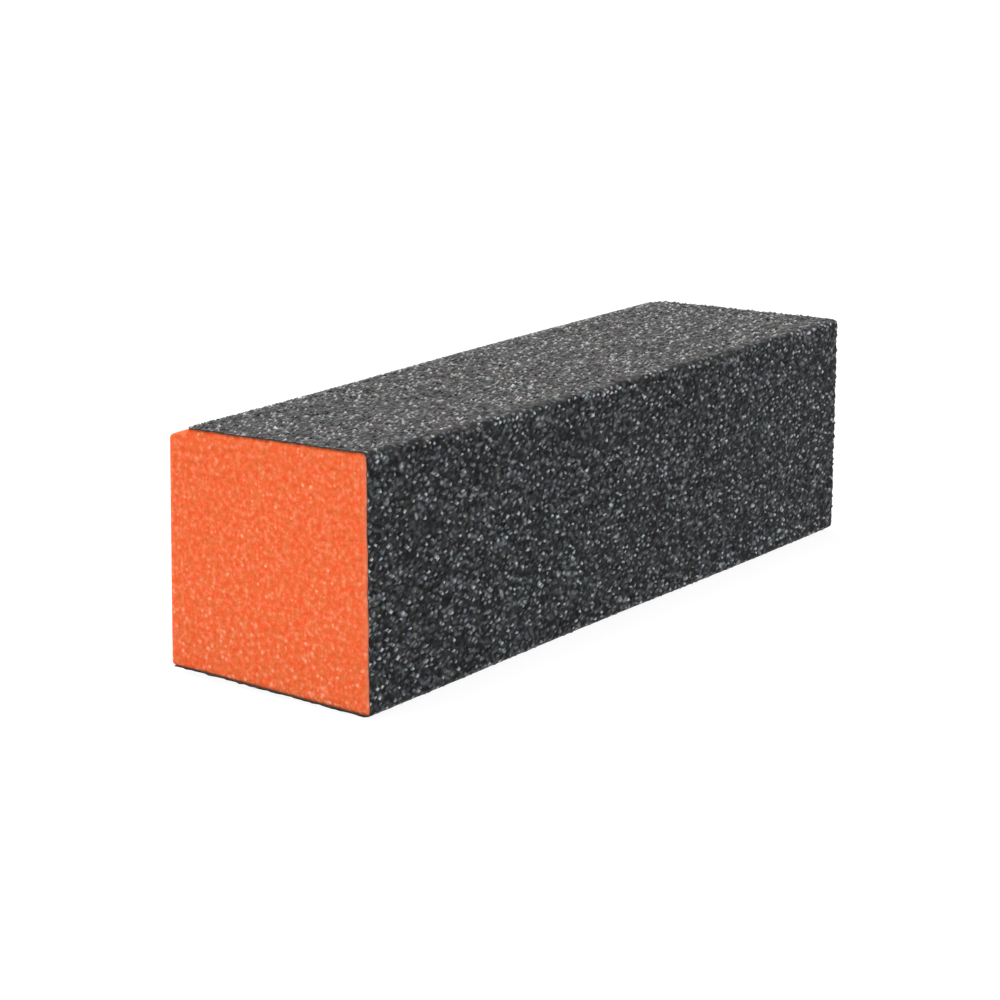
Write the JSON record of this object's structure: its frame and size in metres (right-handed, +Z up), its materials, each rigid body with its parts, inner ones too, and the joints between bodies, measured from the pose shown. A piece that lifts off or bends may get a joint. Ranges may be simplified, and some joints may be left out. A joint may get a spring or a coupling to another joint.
{
  "type": "nail buffer block",
  "caption": "Rectangular foam nail buffer block wrapped on three long sides in black abrasive, with bare foam ends and one bare side.",
  "frame": {"origin": "centre of the lower working face, on the surface that the block lies on", "axes": "+Y along the block's length, with one bare foam end at -Y; +X out of the abrasive side and -X out of the bare foam side; +Z up out of the upper working face"},
  "size_m": [0.026, 0.09, 0.026],
  "materials": {
    "foam": "matt orange closed-cell foam, knife cut, with fine open cells on every cut face",
    "adhesive": "clear amber pressure-sensitive adhesive film",
    "backing": "matt black latex-saturated abrasive paper",
    "grit": "dark grey silicon carbide grains in a black resin coat, with fine bright sparkles"
  },
  "bodies": {
    "root": {"foam_core": "foam", "adhesive_film": "adhesive", "backing_sheet": "backing", "grit_coat": "grit"}
  },
  "joints": []
}
